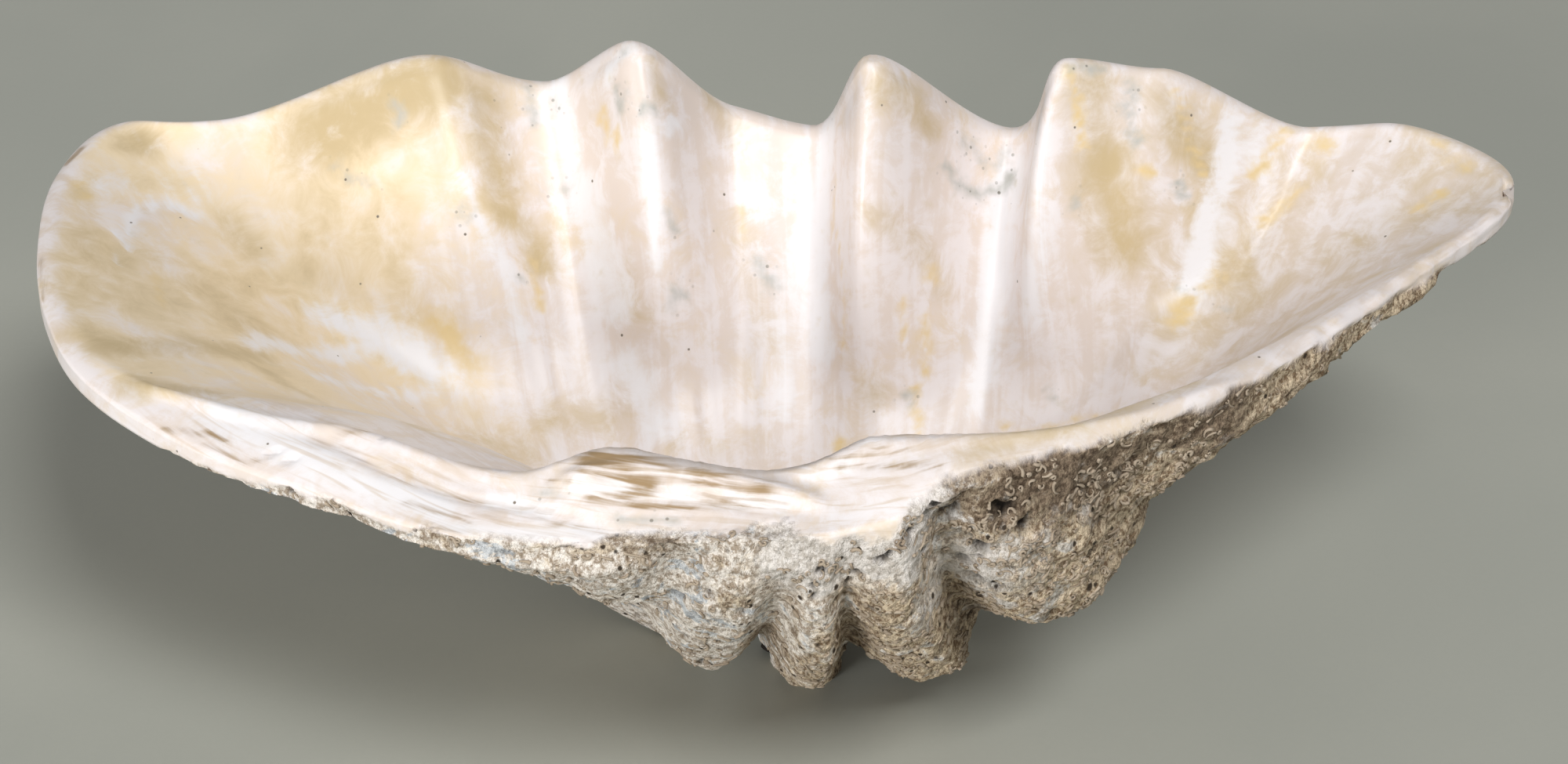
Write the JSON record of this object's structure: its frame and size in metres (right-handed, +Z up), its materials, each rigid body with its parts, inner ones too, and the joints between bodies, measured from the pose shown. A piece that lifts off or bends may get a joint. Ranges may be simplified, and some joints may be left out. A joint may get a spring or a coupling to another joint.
{
  "type": "fossil clam shell",
  "caption": "Heavy clam valve lying on its ribbed outside, with a smooth upward-facing hollow, a wavy margin and a toothed hinge plate.",
  "frame": {"origin": "middle of the footprint's bounding box, on the ground plane that the worn rib crests rest on", "axes": "+X along the length from the blunt end to the pointed end, +Y from the hinge to the wavy margin, +Z up out of the hollow"},
  "size_m": [0.839, 0.446, 0.3031],
  "materials": {
    "shell": "smooth satin inside, rough and bored outside"
  },
  "bodies": {
    "root": {"shell": "shell"}
  },
  "joints": []
}
